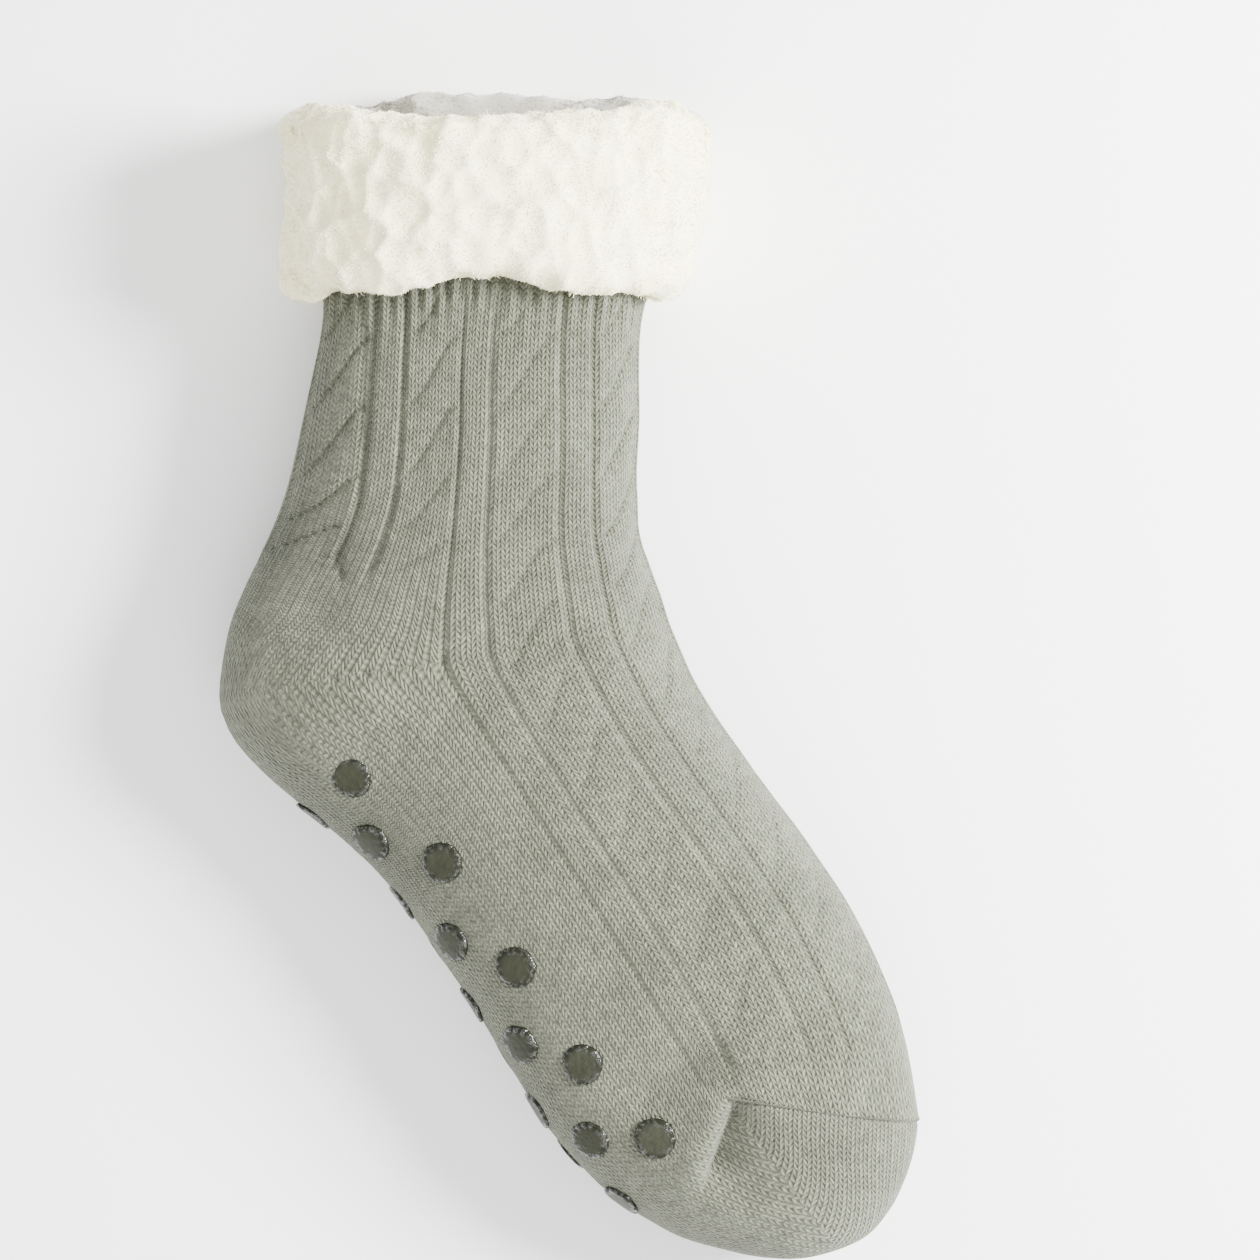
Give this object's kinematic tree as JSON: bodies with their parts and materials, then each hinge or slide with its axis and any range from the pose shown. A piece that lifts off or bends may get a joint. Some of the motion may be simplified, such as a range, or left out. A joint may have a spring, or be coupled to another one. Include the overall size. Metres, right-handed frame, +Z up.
{
  "type": "slipper sock",
  "caption": "Slipper sock in one knitted piece, with a turned-down fleece cuff, a lined leg and rubber grip studs on its sole, lying on its side.",
  "frame": {"origin": "middle of the floor plan of the sock as it lies on its side, on the floor", "axes": "+X along the sole from heel to toe, +Y from the sole towards the instep, +Z up from the floor through the sock's two sides"},
  "size_m": [0.3362, 0.2128, 0.0648],
  "materials": {
    "knit": "heather grey-green rib and stocking stitch, matt, slightly fuzzy",
    "fleece": "cream sherpa fleece, clumped curly pile",
    "seam_yarn": "linked chain in the same yarn, matt",
    "grip": "printed soft dots, dark olive-grey, glossy and a little cloudy"
  },
  "bodies": {
    "root": {"knit_upper": "knit", "fleece_cuff": "fleece", "toe_seam": "seam_yarn", "grip_stud_01": "grip", "grip_stud_02": "grip", "grip_stud_03": "grip", "grip_stud_04": "grip", "grip_stud_05": "grip", "grip_stud_06": "grip", "grip_stud_07": "grip", "grip_stud_08": "grip", "grip_stud_09": "grip", "grip_stud_10": "grip", "grip_stud_11": "grip", "grip_stud_12": "grip", "grip_stud_13": "grip", "grip_stud_14": "grip", "grip_stud_15": "grip", "grip_stud_16": "grip", "grip_stud_17": "grip", "grip_stud_18": "grip", "grip_stud_19": "grip", "grip_stud_20": "grip", "grip_stud_21": "grip", "grip_stud_22": "grip", "grip_stud_23": "grip"}
  },
  "joints": []
}
